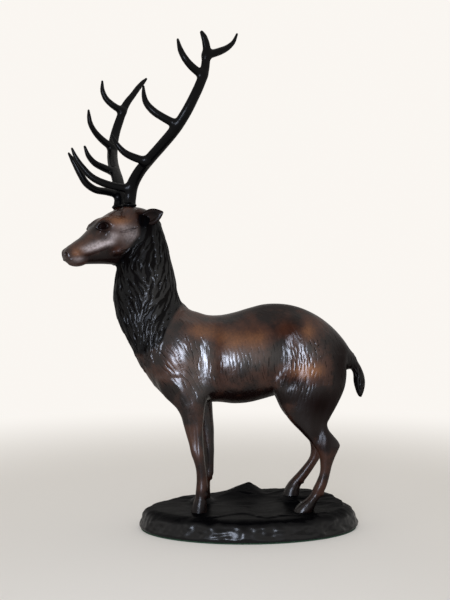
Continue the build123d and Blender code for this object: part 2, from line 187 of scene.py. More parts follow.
class Clay:
    # a block of modelling space that holds the distance to the surface, in mm
    def __init__(self, low, high, step):
        self.low = np.array(low, float)
        self.step = step
        self.count = np.ceil((np.array(high, float) - self.low) / step).astype(int) + 1
        self.field = np.full(self.count, 40.0, np.float32)

    def window(self, low, high):
        first = np.clip(np.floor((np.array(low) - self.low) / self.step).astype(int), 0, self.count)
        last = np.clip(np.ceil((np.array(high) - self.low) / self.step).astype(int) + 1, 0, self.count)
        if np.any(last - first < 3):
            return None
        part = tuple(slice(a, b) for a, b in zip(first, last))
        x, y, z = (self.low[i] + self.step * np.arange(first[i], last[i]) for i in range(3))
        return part, (x[:, None, None], y[None, :, None], z[None, None, :])

    def join(self, shape, blend=3.0):
        self.merge(shape, blend, 1)

    def carve(self, shape, blend=1.5):
        self.merge(shape, blend, -1)

    def merge(self, shape, blend, sign):
        distance, low, high = shape
        found = self.window(np.array(low) - 6 - blend, np.array(high) + 6 + blend)
        if found is None:
            return
        part, places = found
        other = sign * distance(*places).astype(np.float32)
        old = self.field[part]
        overlap = np.maximum(blend - np.abs(old - other), 0) / blend
        soft = overlap * overlap * blend * 0.25
        self.field[part] = np.minimum(old, other) - soft if sign > 0 else np.maximum(old, other) + soft

    def skin(self):
        grid = openvdb.FloatGrid(3.0)
        grid.copyFromArray(np.clip(self.field / self.step, -3, 3).astype(np.float32))
        points, quads = grid.convertToQuads(isovalue=0.0)
        points = self.low + points.astype(float) * self.step
        for _ in range(2):
            points = points - self.normals(points) * self.depth(points)[:, None]
        return points, quads.astype(int)[:, ::-1]

    def depth(self, points):
        # the field at scattered places
        spot = (points - self.low) / self.step
        base = np.clip(np.floor(spot).astype(int), 0, self.count - 2)
        i, j, k = base.T
        near = [self.field[i + a, j + b, k + c] for c in (0, 1) for b in (0, 1) for a in (0, 1)]
        for share in np.clip(spot - base, 0, 1).T:
            near = [low * (1 - share) + high * share for low, high in zip(near[::2], near[1::2])]
        return near[0]

    def normals(self, points):
        ways = np.eye(3) * self.step
        slope = np.stack([self.depth(points + way) - self.depth(points - way) for way in ways], axis=1)
        return slope / np.maximum(np.linalg.norm(slope, axis=1, keepdims=True), 1e-6)


def trueDistance(value, step):
    # turns any smooth function into a distance near its surface
    slopes = np.gradient(value, step)
    return value / np.maximum(np.sqrt(sum(s * s for s in slopes)), 1e-3)


def dot(parts, way):
    return parts[0] * way[0] + parts[1] * way[1] + parts[2] * way[2]


class Axes:
    # a turned set of directions with its own origin
    def __init__(self, origin, along, across, upward):
        self.origin = np.array(origin, float)
        self.along, self.across, self.upward = (np.array(v, float) for v in (along, across, upward))

    def split(self, x, y, z):
        parts = x - self.origin[0], y - self.origin[1], z - self.origin[2]
        return tuple(dot(parts, way) for way in (self.along, self.across, self.upward))

    def point(self, along, across, upward):
        return self.origin + self.along * along + self.across * across + self.upward * upward


bodyAxes = Axes((0, 0, 0), (1, 0, 0), (0, 1, 0), (0, 0, 1))
legAxes = Axes((0, 0, 0), (0, 0, 1), (0, 1, 0), (1, 0, 0))


def loft(axes, rows, power=2.0, skew=0.0):
    # rows: place along, low and high edge, middle and half width across
    rows = np.array(rows, float)
    start, end = rows[:, 0].min(), rows[:, 0].max()
    table = np.linspace(start, end, int((end - start) * 2) + 2)
    low, high, middle, half = curveThrough(rows[:, 0], rows[:, 1:], table).T
    reach = [
        axes.point(place, m + side * h, edge)
        for place, l, t, m, h in rows
        for side in (-1, 1)
        for edge in (l, t)
    ]

    def distance(x, y, z):
        along, across, upward = np.broadcast_arrays(*axes.split(x, y, z))
        step = float(x[1, 0, 0] - x[0, 0, 0])
        floor, top = np.interp(along, table, low), np.interp(along, table, high)
        tall = np.maximum((top - floor) / 2, 0.3)
        rise = (upward - (top + floor) / 2) / tall
        wide = np.maximum(np.interp(along, table, half), 0.3) * (1 + skew * np.clip(rise, -1, 1))
        aside = np.abs(across - np.interp(along, table, middle)) / wide
        ring = (aside**power + np.abs(rise) ** power) ** (1 / power) - 1
        value = trueDistance(ring * np.minimum(tall, wide), step)
        return np.maximum(np.clip(value, -30, 30), np.maximum(start - along, along - end))

    return distance, np.min(reach, axis=0), np.max(reach, axis=0)


def egg(axes, centre, radii, turn=0.0):
    # turned about the axes' across direction, in degrees
    centre = axes.point(*centre)
    t = math.radians(turn)
    along = axes.along * math.cos(t) + axes.upward * math.sin(t)
    upward = axes.upward * math.cos(t) - axes.along * math.sin(t)
    own = Axes(centre, along, axes.across, upward)
    reach = max(radii)

    def distance(x, y, z):
        parts = own.split(x, y, z)
        once = np.sqrt(sum((p / r) ** 2 for p, r in zip(parts, radii)))
        twice = np.sqrt(sum((p / (r * r)) ** 2 for p, r in zip(parts, radii)))
        return once * (once - 1) / np.maximum(twice, 1e-6)

    return distance, centre - reach, centre + reach


def cord(axes, points, sizes, flatness=1.0, broadWay=None, smooth=4):
    # a tapering cord through points; flatness thins it square to broadWay
    points = np.array([axes.point(*p) for p in points])
    places = np.concatenate([[0], np.cumsum(np.linalg.norm(np.diff(points, axis=0), axis=1))])
    count = (len(points) - 1) * smooth + 1
    at = np.interp(np.linspace(0, len(points) - 1, count), np.arange(len(points)), places)
    line = curveThrough(places, points, at)
    size = np.interp(at, places, sizes)
    ways = np.gradient(line, axis=0)
    ways /= np.linalg.norm(ways, axis=1, keepdims=True)

    def distance(x, y, z):
        step = float(x[1, 0, 0] - x[0, 0, 0])
        best = np.full((x.size, y.size, z.size), 30.0)
        places = (x.ravel(), y.ravel(), z.ravel())
        for number in range(count - 1):
            a, b = line[number : number + 2]
            r0, r1 = size[number : number + 2]
            room = max(r0, r1) + 8
            part = []
            for place, low, high in zip(places, np.minimum(a, b) - room, np.maximum(a, b) + room):
                first, last = np.searchsorted(place, (low, high + step))
                part.append(slice(first, last))
            part = tuple(part)
            if any(s.start >= s.stop for s in part):
                continue
            here = x[part[0]] - a[0], y[:, part[1]] - a[1], z[:, :, part[2]] - a[2]
            way = b - a
            t = np.clip(dot(here, way) / (way @ way), 0, 1)
            off = [place - t * run for place, run in zip(here, way)]
            gap = np.sqrt(dot(off, off))
            if flatness < 1:
                thin = np.cross(ways[number], broadWay)
                thin /= np.linalg.norm(thin)
                stretched = np.sqrt(gap * gap + dot(off, thin) * dot(off, thin) * (1 / flatness**2 - 1))
                gap = (stretched - (r0 + (r1 - r0) * t)) * gap / np.maximum(stretched, 1e-6)
            else:
                gap = gap - (r0 + (r1 - r0) * t)
            best[part] = np.minimum(best[part], gap)
        return best

    return distance, line.min(axis=0) - max(sizes), line.max(axis=0) + max(sizes)


def mirrored(place, side):
    # the same place on the other side of the middle where side is -1
    forward, aside, height = place
    return forward, aside * side, height


def layOn(clay, axes, side, place, sizes, blend, turn=0):
    # an egg, or a cord through several places; a blend below 0 carves it out
    if isinstance(place, list):
        shape = cord(axes, [mirrored(spot, side) for spot in place], sizes)
    else:
        shape = egg(axes, mirrored(place, side), sizes, turn)
    clay.merge(shape, abs(blend), 1 if blend > 0 else -1)


# Each row: place along the part, lower and upper edge, middle and half width across, all in mm.
trunk = {
    "skin": [
        (-106, 176, 244, 0, 17), (-98, 165, 251, 0, 24.5), (-90, 157, 256.5, 0, 29), (-80, 151, 260, 0, 32),
        (-65, 148, 257.5, 0, 33.5), (-50, 149, 253.2, 0, 34.3), (-35, 150, 253, 0, 35), (-18, 148.3, 256.3, 0, 35.5),
        (0, 149, 261.6, 0, 35.5), (18, 153, 266, 0, 35), (32, 157, 266.8, 0, 34.5), (50, 162, 265, 0, 34),
        (70, 168, 258.6, 0, 32.5), (90, 175, 247, 0, 28.5), (105, 181, 233.8, 0, 23.5), (116, 186, 220.5, 0, 17.5),
        (124, 190, 208, 0, 10.5), (128, 194, 201.5, 0, 4),
    ],
    "neck": [
        (146, -88, -60, 0, 17), (153, -96, -60, 0, 20), (160, -104.5, -61, 0, 22.5), (168, -112, -62, 0, 24.5),
        (176, -118.4, -63, 0, 26), (184, -123.5, -65, 0, 27), (192, -128, -67, 0, 28), (204, -134.5, -69, 0, 28.5),
        (216, -140.6, -71, 0, 28.5), (228, -147, -72, 0, 28), (238, -152, -73, 0, 27.5), (247, -156, -74.5, 0, 27),
        (259, -158.7, -78, 0, 26.5), (271, -161.1, -82.7, 0, 26), (283, -161.1, -86.5, 0, 25.3),
        (295, -159.9, -88.6, 0, 24.5), (307, -157.5, -91, 0, 23.3), (322, -154, -94.6, 0, 22),
        (337, -149, -98.2, 0, 20.5), (352, -144, -102.9, 0, 18.5), (364, -140, -107, 0, 15.5), (375, -136, -116, 0, 10),
    ],
    "tail": [
        (206, 108, 126, 0, 7), (200, 113, 129.5, 0, 8), (192, 121, 134.5, 0, 7.5), (184, 125.5, 138.2, 0, 7),
        (172, 126.8, 140.6, 0, 6.5), (163, 129, 139.6, 0, 5.5), (157, 131.5, 137.6, 0, 4), (153.5, 134, 136, 0, 1.5),
    ],
    "neckBlend": 12.0,
}

legs = {
    "foreleg_left": {
        "skin": [
            (178, -108, -56, -21, 12), (165, -102, -54, -22.5, 12.5), (151, -91, -53, -24, 11.3),
            (137, -82.2, -54.5, -24, 9.8), (126, -78.8, -55.5, -24, 8.8), (115, -75.7, -55.8, -24.2, 8.1),
            (103, -72.2, -55.4, -24.5, 7.6), (91, -69.5, -54.4, -25, 7.6), (82, -66.3, -53.5, -25, 6.8),
            (72.6, -64, -52.3, -25.4, 5.9), (61, -63.4, -51.2, -25.7, 5.5), (49, -64.2, -50.5, -26, 6.3),
            (41, -65.2, -52, -26, 6.4), (35, -67.2, -51.8, -26, 7.8), (23, -70.2, -51, -26, 9.2),
        ],
        "claws": (-53, -26, 44), "toe": (-70, -26, 23.5),
    },
    "foreleg_right": {
        "skin": [
            (178, -106, -50, 21, 12), (165, -98, -47, 22, 12.5), (149, -86, -43.7, 22.5, 11), (131, -67, -42.5, 22, 9),
            (112, -60.5, -41.2, 21.5, 7.9), (100, -57, -41.2, 21, 7.5), (88, -54.8, -41, 20.6, 7.2),
            (75.6, -53.2, -41.4, 20.3, 6.2), (66, -53.2, -41.6, 20, 5.7), (59, -55, -42, 20, 6.3),
            (51, -58.5, -45.6, 20, 6.4), (44, -61, -46, 20, 7.8), (30, -65, -45.6, 20, 9.2),
        ],
        "claws": (-45.4, 20, 55), "toe": (-65, 20, 31),
    },
    "hindleg_left": {
        "skin": [
            (205, 36, 112, -17, 13), (188, 31, 114, -19.5, 15), (170, 30, 111, -21.5, 15.5),
            (151.4, 33.2, 102.5, -22.5, 14), (142, 37.9, 98.5, -23, 12.8), (132.6, 43.8, 94, -23, 11.5),
            (125.5, 49.7, 90.6, -23.3, 10.3), (118.4, 56.8, 92.2, -23.8, 9.2), (111, 63.9, 98, -24.2, 8.4),
            (105, 69.5, 103, -24.6, 7.9), (100.4, 73, 105.2, -25, 7.6), (94.5, 77.2, 103, -25.4, 7.2),
            (87.5, 80.3, 99.6, -26, 6.4), (78, 81.8, 95.9, -26, 5.7), (69, 81.4, 93.6, -26, 5.3),
            (59.5, 78.1, 91.3, -26, 5.6), (50, 73.4, 88, -26, 6.3), (43, 70.3, 84, -26, 6),
            (37.5, 64.8, 79.5, -26, 6.4), (32.5, 57.6, 77, -26, 7.2), (28, 53.2, 75, -26, 8.0),
            (23.5, 50.8, 73.5, -26, 8.6), (19, 48.8, 73, -26, 8.8),
        ],
        "claws": (83.5, -26, 45), "toe": (51, -26, 21.5),
    },
    "hindleg_right": {
        "skin": [
            (205, 36, 112, 17, 13), (188, 31, 114, 19.5, 15), (170, 31, 110, 21.5, 15.5), (151, 35, 101, 22.5, 14),
            (132, 45, 92.5, 23, 11.5), (118, 58, 91, 23.8, 9.2), (110, 65, 97, 24.2, 8.4), (104, 71, 101, 24.4, 7.9),
            (98, 76, 101, 24.5, 7.5), (88, 78.5, 95.5, 24.5, 6.4), (76, 76.3, 89.5, 24.6, 5.7),
            (66, 68.9, 83.3, 24.8, 5.4), (57.5, 61.4, 77.5, 25, 5.8), (50.2, 54.5, 72, 25, 6.4),
            (45, 50, 67.5, 25, 6.6), (40.3, 47.2, 65, 25, 7.6), (30, 43.6, 64, 25, 8.8),
        ],
        "claws": (67.5, 25, 48), "toe": (44, 25, 31),
    },
}

# centre, radii, blend and turn of what is laid on, or carved out, on both sides
muscles = {
    "shoulder": ((-84, -22, 206), (23, 12.5, 38), 12, -14),
    "upperArm": ((-84, -23, 170), (18, 11.5, 17), 10, 30),
    "elbow": ((-60, -23, 163), (9, 8.5, 12), 8),
    "haunch": ((69, -20, 204), (29, 14, 31), 12, 8),
    "thigh": ((80, -18, 176), (26, 14.5, 34), 12, 12),
    "stifle": ((46, -23.5, 171), (15, 11, 17), 10, 12),
    "hipBone": ((48, -17, 236), (12, 7, 9), 14, -10),
    "rib": ((-20, -12, 196), (40, 25, 36), 20),
    "behindShoulder": ((-54, -39.5, 204), (9, 6, 26), -12, 6),
    "flank": ((38, -42, 206), (12, 9.5, 30), -14, -4),
    "gaskin": ((83, -36, 128), (5, 5.5, 26), -9, -14),
    "brisket": ((-100, -36, 160), (13, 8, 12), -9),
    "forearm": ((-66, -36, 112), (3, 4.5, 22), -5, 4),
}


def modelBody(clay):
    clay.join(loft(bodyAxes, trunk["skin"], power=2.15))
    clay.join(loft(legAxes, trunk["neck"], power=2.1), trunk["neckBlend"])
    for leg in legs.values():
        clay.join(loft(legAxes, leg["skin"], power=2.2), blend=6)
    for side in (1, -1):
        for muscle in muscles.values():
            layOn(clay, bodyAxes, side, *muscle)
    clay.join(loft(legAxes, trunk["tail"]), blend=5)


feet = {
    "clawAside": 3.2,
    "claw": ((1.8, 1.7, 2.8), 20),  # radii and turn
    "cleft": ((7, 0.7, 11), -20),
}


def modelFeet(clay):
    for leg in legs.values():
        x, y, z = leg["claws"]
        toeX, toeY, sole = leg["toe"]
        for side in (-1, 1):
            clay.join(egg(bodyAxes, (x, y + feet["clawAside"] * side, z), *feet["claw"]), blend=2.5)
        clay.carve(egg(bodyAxes, (toeX + 1, toeY, sole + 1), *feet["cleft"]), blend=0.8)


headTurn = math.radians(28.8)
headAxes = Axes(
    (-149.6, 0, 0),
    (-math.cos(headTurn), -math.sin(headTurn), 0),
    (math.sin(headTurn), -math.cos(headTurn), 0),
    (0, 0, 1),
)

# Places on the head: forward, to the side, height.
head = {
    "skull": [
        (75.2, 319.5, 326, 0, 3.0), (73.4, 316.2, 329.2, 0, 6.4), (70, 313.4, 332.6, 0, 8.9),
        (66, 311.6, 335.4, 0, 10.4), (61, 310.6, 339, 0, 11.4), (55, 311.2, 343.2, 0, 12.2),
        (48, 312.4, 349.8, 0, 13.4), (42, 312.8, 356, 0, 14.8), (36, 313, 361.6, 0, 16.8), (28, 313.2, 367.6, 0, 19),
        (18, 313, 374.3, 0, 20.6), (8, 312.5, 378.8, 0, 21.6), (-4, 314, 381.6, 0, 21.8), (-16, 322, 382.3, 0, 20),
        (-26, 334, 380.5, 0, 17), (-34, 348, 376, 0, 12), (-38, 356, 370, 0, 5),
    ],
    "chin": ((60, 0, 313.4), (9, 6.4, 3.6)),
    # laid on in this order, on both sides: place and radii, or places and sizes, then blend and turn
    "features": {
        "upperLip": ((63, 7.4, 318.6), (10, 4.6, 4.4), 3, -8),
        "nosePad": ((71.5, 4.6, 324), (4.5, 4.4, 5.4), 2.5),
        "temple": ((12, 16, 360), (13, 6, 8), 6),
        "jaw": ((4, 14.6, 340), (19, 7.8, 14), 8, -10),
        "brow": ((33, 10.5, 360.7), (9, 3.8, 3.4), 6, -38),
        "crestHollow": ((38, 18.5, 342), (11, 3.4, 4.4), -4, -30),
        "underCheek": ((36, 19.6, 323), (17, 4.2, 4.6), -6, -4),
        "eyeHollow": ((45, 15.6, 351), (7, 3.2, 3.6), -4, -42),
        "crest": (
            [(60, 9.6, 324), (50, 12.6, 327.2), (40, 14.6, 331.4), (31, 17.2, 336), (22, 19, 339.6)],
            [1.6, 2.6, 2.8, 2.8, 2.2], 5,
        ),
        "muzzleRidge": ([(57, 9.4, 331), (48, 11.4, 336.6), (41, 12.8, 341.4)], [1.6, 2.2, 1.4], 4),
        "cheekBoss": ((22.4, 17.6, 344), (5.6, 4.2, 5.0), 2),
        "socket": ((33.6, 18.2, 356.8), (8, 4.2, 4.6), -2, 8),
        "eyeBall": ((33.2, 12.4, 356.5), (5.0, 4.2, 4.2), 0.6),
        "upperLid": (
            [(41, 13.4, 354.2), (37, 15.6, 359.6), (30.5, 17, 361.8), (24.5, 17.8, 359)],
            [0.9, 1.4, 1.6, 1.2], 1.6,
        ),
        "lowerLid": (
            [(41, 13.4, 354.2), (36, 16.2, 351.8), (30, 17.6, 352), (24.5, 18, 355.4)],
            [0.8, 1.1, 1.2, 1.0], 1.6,
        ),
        "tearDuct": ([(41.4, 14.8, 353), (47, 13.4, 347)], [0.9, 0.5], -1.0),
        "nostril": ((74.4, 6.2, 323.4), (3.6, 1.5, 1.9), -1.0, -30),
        "mouth": (
            [(75, 1, 318), (72.4, 5.5, 316.4), (69, 9, 314.4), (64, 11.2, 313.6), (59, 12.2, 314), (52.5, 12.8, 316.2)],
            [0.8, 0.8, 0.9, 0.9, 0.8, 0.5], -0.9,
        ),
        "templeGroove": ([(30, 14.5, 366.6), (22, 16.2, 367.6), (11.8, 17.6, 366)], [0.5, 0.8, 0.5], -1.6),
        "cheekGroove": (
            [(14, 21.2, 349.8), (8.9, 22, 350.6), (-2, 22, 354), (-14.3, 20, 357.4)],
            [0.5, 1.0, 1.0, 0.6], -1.8,
        ),
        "jawEdge": ([(20, 16, 325.5), (7, 20.2, 331), (-8, 20.6, 341), (-16, 18, 352)], [1.0, 2.4, 2.4, 1.0], 5),
        "pedicle": ([(0.2, 11.8, 366), (0.2, 12.9, 375.5)], [8.6, 7.6], 5),
        "earRoot": ((-14, 18.5, 368), (8, 6.5, 7), 5),
    },
}


def modelHead(clay):
    clay.join(loft(headAxes, head["skull"], power=2.25, skew=0.1), blend=7)
    clay.join(egg(headAxes, *head["chin"]), blend=3)
    for side in (1, -1):
        for feature in head["features"].values():
            layOn(clay, headAxes, side, *feature)


coat = {
    # x, z, angle of the hair in degrees below the tail's direction, length, depth, half width and how far apart
    "flow": [
        (-78, 240, 60, 16, 0.3, 0.7, 3.4), (-98, 214, 48, 26, 0.5, 0.85, 4.4), (-82, 212, 54, 28, 0.55, 0.9, 4.6),
        (-70, 215, 78, 20, 0.45, 0.8, 4.0), (-90, 190, 46, 28, 0.55, 0.9, 4.6), (-74, 180, 52, 20, 0.45, 0.8, 4.4),
        (-104, 176, 42, 18, 0.35, 0.75, 4.0), (-80, 155, 75, 14, 0.3, 0.7, 3.6), (-120, 188, 52, 16, 0.35, 0.8, 3.8),
        (-56, 198, 92, 20, 0.3, 0.7, 4.0), (-35, 200, 88, 22, 0.42, 1.1, 2.7), (-10, 202, 84, 22, 0.45, 1.1, 2.7),
        (12, 205, 86, 22, 0.42, 1.1, 2.7), (-20, 230, 62, 14, 0.14, 0.7, 3.4), (10, 240, 50, 14, 0.14, 0.7, 3.4),
        (-10, 170, 68, 13, 0.28, 0.65, 3.0), (20, 175, 72, 13, 0.28, 0.65, 3.0), (29, 212, 92, 20, 0.45, 1.1, 2.8),
        (48, 225, 72, 20, 0.45, 0.9, 3.2), (62, 220, 62, 17, 0.55, 0.95, 3.4), (80, 212, 74, 15, 0.5, 0.9, 3.4),
        (62, 192, 100, 13, 0.6, 1.0, 3.4), (84, 192, 94, 13, 0.55, 1.0, 3.4), (56, 178, 112, 14, 0.45, 0.8, 3.2),
        (80, 172, 95, 12, 0.2, 0.65, 3.4), (100, 205, 75, 12, 0.28, 0.65, 3.2), (112, 210, 60, 10, 0.2, 0.6, 3.2),
        (60, 250, 40, 13, 0.16, 0.7, 3.4), (30, 258, 30, 13, 0.12, 0.7, 3.4), (-30, 248, 40, 13, 0.12, 0.7, 3.4),
        (60, 150, 95, 12, 0.2, 0.6, 3.4), (80, 125, 85, 12, 0.16, 0.6, 3.4), (85, 95, 80, 12, 0.14, 0.6, 3.4),
        (128, 192, 72, 10, 0.8, 0.8, 2.4), (136, 170, 94, 10, 0.8, 0.8, 2.4), (-65, 110, 88, 12, 0.16, 0.6, 3.4),
        (-60, 60, 88, 12, 0.12, 0.6, 3.4), (70, 45, 100, 9, 0.12, 0.6, 3.4),
    ],
    "reach": 15.0,  # how far one of these is felt
    "lowest": 34.0,
    "grid": ((-232, -52, 16), (146, 48, 392), 1.7),  # of the coarse model that the hair is combed on
    "dark": (0.12, 0.45, 0.8),  # depth where the dark starts, how much deeper it is full, and how dark
    "spacing": 11.0,
    "turnSpread": 6,  # how far hairs stray, in degrees
    "wave": 0.12,
    "steps": 7,
    "depthSpread": (0.6, 1.2),
    "widthSpread": (0.85, 1.25),
}
mane = {
    # x, z, angle below the tail's direction, length, height, half width of a lock and how far apart
    "flow": [
        (-138, 327, 146, 22, 1.3, 1.7, 3.6), (-122, 328, 114, 24, 1.5, 1.8, 3.8), (-112, 345, 100, 26, 1.3, 1.7, 3.6),
        (-99, 336, 86, 26, 0.8, 1.4, 3.2), (-142, 304, 48, 24, 1.6, 1.9, 4.0), (-154, 300, 82, 28, 1.1, 1.7, 3.6),
        (-126, 304, 66, 24, 1.8, 2.0, 4.2), (-110, 302, 120, 24, 1.7, 1.9, 4.0), (-97, 290, 88, 26, 1.0, 1.5, 3.4),
        (-130, 284, 58, 24, 1.8, 2.0, 4.2), (-108, 280, 136, 24, 1.7, 1.9, 4.0), (-152, 270, 62, 28, 1.4, 1.9, 4.0),
        (-138, 258, 58, 26, 1.7, 2.0, 4.2), (-120, 259, 134, 24, 1.8, 2.0, 4.2), (-102, 262, 126, 24, 1.4, 1.7, 3.8),
        (-129, 238, 78, 26, 1.7, 2.0, 4.2), (-110, 230, 126, 24, 1.5, 1.8, 4.0), (-127, 217, 84, 24, 1.2, 1.7, 3.8),
        (-146, 240, 62, 26, 1.4, 1.9, 4.0),
    ],
    "reach": 11.0,
    "edge": [
        (-40, 320), (-60, 264), (-80, 266), (-90, 252), (-97, 239), (-103, 222), (-114, 213), (-124, 207), (-136, 206),
    ],
    "throat": [(14, 306), (13, 318), (7, 330), (0, 338), (-7, 346), (-8, 356), (-6, 366), (-8, 376)],
    "crown": 378,
    "headFrom": 300,
    "border": 3,
    "sunk": 0.45,  # how far the clay lies back between the locks
    "dark": (0.95, 0.6, 0.6),  # height below which it is dark, how much lower it is full, and how dark
    "spacing": 13.0,
    "turnSpread": 11,
    "wave": 0.26,
    "steps": 9,
    "depthSpread": (0.75, 1.25),
    "widthSpread": (0.8, 1.2),
}
seed = 7  # of every random draw


def guides(kind, points):
    # each guide row's share at scattered places
    rows = np.array(kind["flow"], float)
    gap = (points[:, None, 0] - rows[None, :, 0]) ** 2 + (points[:, None, 2] - rows[None, :, 1]) ** 2
    weight = np.exp(-gap / (2 * kind["reach"] * kind["reach"])) + 1e-9
    return weight / weight.sum(axis=1, keepdims=True), rows


def guided(kind, points, column):
    weight, rows = guides(kind, points)
    return weight @ rows[:, column]


def hairWay(kind, points, extra):
    weight, rows = guides(kind, points)
    angle = np.radians(rows[:, 2])
    x, z = weight @ np.cos(angle), weight @ -np.sin(angle)
    turned = np.arctan2(z, x) + extra
    return np.stack([np.cos(turned), np.zeros_like(x), np.sin(turned)], axis=1)


def manePart(points):
    # above 0 in the mane, in mm from its edge
    edge = np.array(mane["edge"], float)
    neck = points[:, 2] - np.interp(-points[:, 0], -edge[:, 0], edge[:, 1])
    forward, _, height = headAxes.split(*points.T)
    throat = np.array(mane["throat"], float)
    behind = np.interp(height, throat[:, 1], throat[:, 0]) - forward
    crown = mane["crown"] - points[:, 2] - 0.3 * np.abs(points[:, 1])
    return np.minimum(np.minimum(neck * 0.8, np.where(height > mane["headFrom"], behind, 30)), crown)


def spaced(points, ways, along, across, draw):
    # picks places that lie no closer than along by across
    cell = max(along, across.max())
    neighbours = list(itertools.product((-1, 0, 1), repeat=3))
    taken = {}
    chosen = []
    for number in draw.permutation(len(points)):
        here = points[number]
        a, b, c = np.floor(here / cell).astype(int)
        near = []
        for i, j, k in neighbours:
            near += taken.get((a + i, b + j, c + k), [])
        if near:
            gap = points[near] - here
            run = gap @ ways[number]
            if np.any((run / along) ** 2 + ((gap * gap).sum(axis=1) - run * run) / across[number] ** 2 < 1):
                continue
        taken.setdefault((a, b, c), []).append(number)
        chosen.append(number)
    return np.array(chosen)


def combed(clay, kind, starts, draw):
    # lines that follow the hair over the clay from their starts
    lengths = guided(kind, starts, 3) * draw.uniform(0.7, 1.3, len(starts))
    turn = np.radians(draw.normal(0, kind["turnSpread"], len(starts)))
    swing = draw.uniform(0, 2 * math.pi, len(starts))
    line = [starts]
    here = starts
    side = np.sign(np.where(starts[:, 1] == 0, 1, starts[:, 1]))
    for step in range(kind["steps"]):
        bend = kind["wave"] * np.sin(swing + step * 1.5)
        way = hairWay(kind, here, turn + bend * side)
        normal = clay.normals(here)
        way = way - normal * (way * normal).sum(axis=1, keepdims=True)
        way /= np.maximum(np.linalg.norm(way, axis=1, keepdims=True), 0.3)
        here = here + way * (lengths / kind["steps"])[:, None]
        here = here - clay.normals(here) * clay.depth(here)[:, None]
        line.append(here)
    return np.stack(line, axis=1)


def strokes(points, lines, halfWidths, heights, profile):
    # the strongest stroke at each point
    cell = 5.0
    keys = np.floor(points / cell).astype(int)
    order = np.lexsort(keys.T)
    keys = keys[order]
    breaks = np.flatnonzero(np.any(np.diff(keys, axis=0) != 0, axis=1)) + 1
    starts, ends = np.concatenate([[0], breaks]), np.concatenate([breaks, [len(points)]])
    cells = {tuple(keys[a]): order[a:b] for a, b in zip(starts, ends)}
    result = np.zeros(len(points))
    for line, half, height in zip(lines, halfWidths, heights):
        low = np.floor((line.min(axis=0) - half) / cell).astype(int)
        high = np.floor((line.max(axis=0) + half) / cell).astype(int)
        near = [tuple(low + shift) for shift in np.ndindex(*(high - low + 1))]
        near = [cells[key] for key in near if key in cells]
        if not near:
            continue
        near = np.concatenate(near)
        spots = points[near]
        a, way = line[:-1], np.diff(line, axis=0)
        gap = spots[:, None] - a[None]
        share = np.clip((gap * way).sum(axis=2) / (way * way).sum(axis=1), 0, 1)
        gap = gap - share[..., None] * way
        distance = (gap * gap).sum(axis=2)
        best = distance.argmin(axis=1)
        rows = np.arange(len(spots))
        run = (best + share[rows, best]) / len(way)
        value = height * profile(np.sqrt(distance[rows, best]) / half, run)
        result[near] = np.maximum(result[near], value)
    return result


def groove(aside, run):
    taper = np.clip(np.minimum(run / 0.25, (1 - run) / 0.35), 0, 1)
    return taper * np.clip(1 - (aside / np.maximum(taper, 0.3)) ** 2, 0, 1) ** 1.5


def lock(aside, run):
    # a lock swells from its root and is drawn to a point
    width = np.clip(np.minimum(run / 0.3 + 0.35, (1 - run) / 0.55 + 0.08), 0, 1)
    height = (0.45 + 0.55 * np.clip(run * 1.5, 0, 1)) * np.clip((1 - run) / 0.2 + 0.4, 0, 1)
    return height * np.sqrt(np.clip(1 - (aside / width) ** 2, 0, 1))


def makeHair():
    # every hair and lock of the stag, from a coarse model of it: lines, half widths and depths
    clay = Clay(*coat["grid"])
    modelBody(clay)
    modelHead(clay)
    points = clay.skin()[0]
    draw = np.random.default_rng(seed)
    inMane = manePart(points)
    face = (headAxes.split(*points.T)[2] > mane["headFrom"]) & (inMane < 0)
    body = points[(inMane < 2) & ~face & (points[:, 2] > coat["lowest"])]
    grown = []
    for kind, starts in ((coat, body), (mane, points[inMane > 1])):
        gaps = guided(kind, starts, 6)
        starts = starts[spaced(starts, hairWay(kind, starts, 0), kind["spacing"], gaps, draw)]
        grown.append((kind, starts, combed(clay, kind, starts, draw)))
    made = []
    for kind, starts, lines in grown:
        depths = guided(kind, starts, 4) * draw.uniform(*kind["depthSpread"], len(starts))
        halves = guided(kind, starts, 5) * draw.uniform(*kind["widthSpread"], len(starts))
        made.append((lines, halves, depths))
    print("hairs", len(made[0][0]), "locks", len(made[1][0]))
    return made


hairLines, lockLines = makeHair()


def makeMesh(name, points, faces, masks=None):
    mesh = bpy.data.meshes.new(name)
    mesh.from_pydata((points * mm).tolist(), [], faces.tolist())
    for mask, values in (masks or {}).items():
        values = np.full(len(points), values, np.float32)
        mesh.attributes.new(mask, "FLOAT", "POINT").data.foreach_set("value", values)
    mesh.shade_smooth()
    piece = bpy.data.objects.new(name, mesh)
    scene.collection.objects.link(piece)
    return piece


def standFor(piece, node):
    # a finished piece takes the place of its plain casting
    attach(piece, "root")
    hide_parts(node)
    print(piece.name, len(piece.data.vertices))
    return piece


def cutFlat(piece, place, way):
    # takes off what lies beyond a plane and closes the cut with a flat, sharp-edged cap
    shape = bmesh.new()
    shape.from_mesh(piece.data)
    everything = shape.verts[:] + shape.edges[:] + shape.faces[:]
    place = Vector(place) * mm
    made = bmesh.ops.bisect_plane(
        shape, geom=everything, dist=1e-6, plane_co=place, plane_no=Vector(way), clear_outer=True
    )
    rim = [e for e in made["geom_cut"] if isinstance(e, bmesh.types.BMEdge) and e.is_boundary]
    bmesh.ops.triangle_fill(shape, use_beauty=True, edges=rim, normal=Vector(way))
    for edge in rim:
        edge.smooth = False
    shape.to_mesh(piece.data)
    shape.free()


